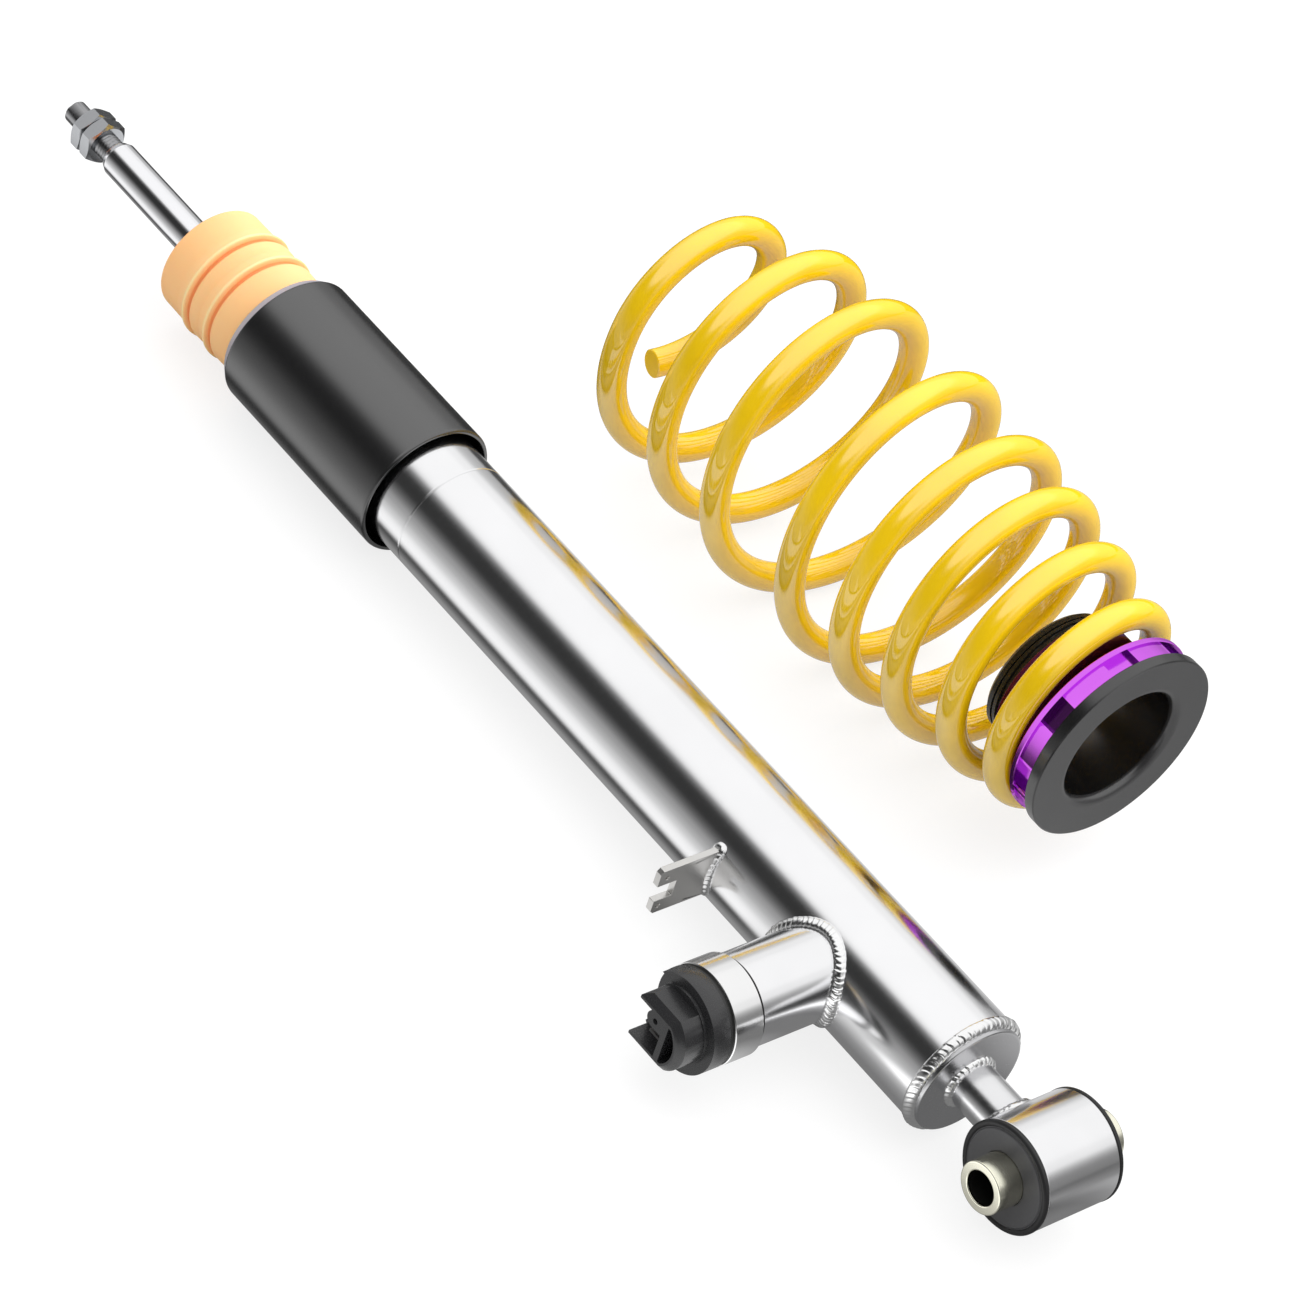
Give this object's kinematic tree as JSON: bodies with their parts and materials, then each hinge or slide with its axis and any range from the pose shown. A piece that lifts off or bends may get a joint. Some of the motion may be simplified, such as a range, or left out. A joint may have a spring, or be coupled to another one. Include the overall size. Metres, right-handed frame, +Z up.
{
  "type": "coilover damper and spring set",
  "caption": "Rear suspension set: polished twin-tube damper with eye bush, side valve and boot, and a barrel spring on a screw-adjusted perch.",
  "frame": {"origin": "centre of the lower eye bore, halfway along the bush sleeve", "axes": "+X from the lower eye up the damper to the rod tip, +Y along the eye bore and out along the control valve, +Z up from the surface that the set lies on"},
  "size_m": [0.5893, 0.2708, 0.1148],
  "materials": {
    "polished_steel": "polished",
    "brushed_steel": "satin",
    "weld_metal": "satin",
    "tube_steel": "satin",
    "core_steel": "satin",
    "sintered_steel": "matte",
    "rod_chrome": "polished",
    "zinc": "satin",
    "zinc_nut": "satin",
    "brass": "satin",
    "pin_brass": "polished",
    "copper_winding": "satin",
    "bush_rubber": "matte",
    "seal_rubber": "matte",
    "black_plastic": "matte",
    "sleeve_plastic": "satin",
    "band_plastic": "matte",
    "foam": "matte",
    "black_aluminium": "satin",
    "purple_aluminium": "satin",
    "spring_paint": "gloss"
  },
  "bodies": {
    "damper_body": {"outer_tube": "polished_steel", "bottom_cap": "brushed_steel", "cap_weld": "weld_metal", "neck": "brushed_steel", "neck_welds": "weld_metal", "eye_ring": "brushed_steel", "bush_rubber": "bush_rubber", "valve_tube": "polished_steel", "valve_weld": "weld_metal", "valve_collar": "brushed_steel", "valve_o_ring": "seal_rubber", "valve_seat": "brass", "solenoid_coil": "copper_winding", "solenoid_core": "core_steel", "connector_cap": "black_plastic", "connector_pins": "pin_brass", "cable_bracket": "brushed_steel", "bracket_weld": "weld_metal", "intermediate_tube": "tube_steel", "pressure_tube": "tube_steel", "base_valve": "brass", "rod_guide": "sintered_steel", "rod_seal": "seal_rubber", "tube_end_cap": "brushed_steel", "perch": "black_aluminium"},
    "bush_core": {"bush_sleeve": "zinc"},
    "rod_carriage": {"piston_band": "band_plastic"},
    "rod": {"piston_rod": "rod_chrome", "piston": "sintered_steel", "piston_nut": "zinc_nut", "rebound_stop": "band_plastic", "lower_nut": "zinc_nut", "upper_nut": "zinc_nut"},
    "boot": {"bump_stop": "foam", "dust_sleeve": "sleeve_plastic"},
    "spool": {"valve_spool": "core_steel"},
    "spring": {"coil_spring": "spring_paint"},
    "adjuster": {"adjuster_ring": "purple_aluminium"}
  },
  "joints": [
    {"name": "bush_twist", "type": "hinge", "parent": "damper_body", "child": "bush_core", "pos_m": [0, 0, 0], "axis": [0, 1, 0], "range_deg": [-15, 15], "stiffness_Nm_per_rad": 20},
    {"name": "rod_slide", "type": "slide", "parent": "damper_body", "child": "rod_carriage", "axis": [1, 0, 0], "range_m": [-0.0743, 0], "stiffness_N_per_m": 150, "springref_m": 0.2},
    {"name": "rod_spin", "type": "hinge", "parent": "rod_carriage", "child": "rod", "pos_m": [0.3, 0, 0], "axis": [1, 0, 0], "continuous": true},
    {"name": "boot_slide", "type": "slide", "parent": "rod_carriage", "child": "boot", "axis": [1, 0, 0], "range_m": [0, 0.062]},
    {"name": "valve_stroke", "type": "slide", "parent": "damper_body", "child": "spool", "axis": [0, 1, 0], "range_m": [0, 0.0015], "stiffness_N_per_m": 400, "springref_m": -0.002},
    {"name": "height_adjust", "type": "slide", "parent": "damper_body", "child": "spring", "axis": [1, 0, 0], "range_m": [0, 0.0145]},
    {"name": "ring_turn", "type": "hinge", "parent": "spring", "child": "adjuster", "pos_m": [0.13, -0.1299, 0.02715], "axis": [1, 0, 0], "range_deg": [0, 1740.5]}
  ],
  "couplings": [
    {"joint": "ring_turn", "follows": "height_adjust", "rad_per_m": 2094.4}
  ]
}
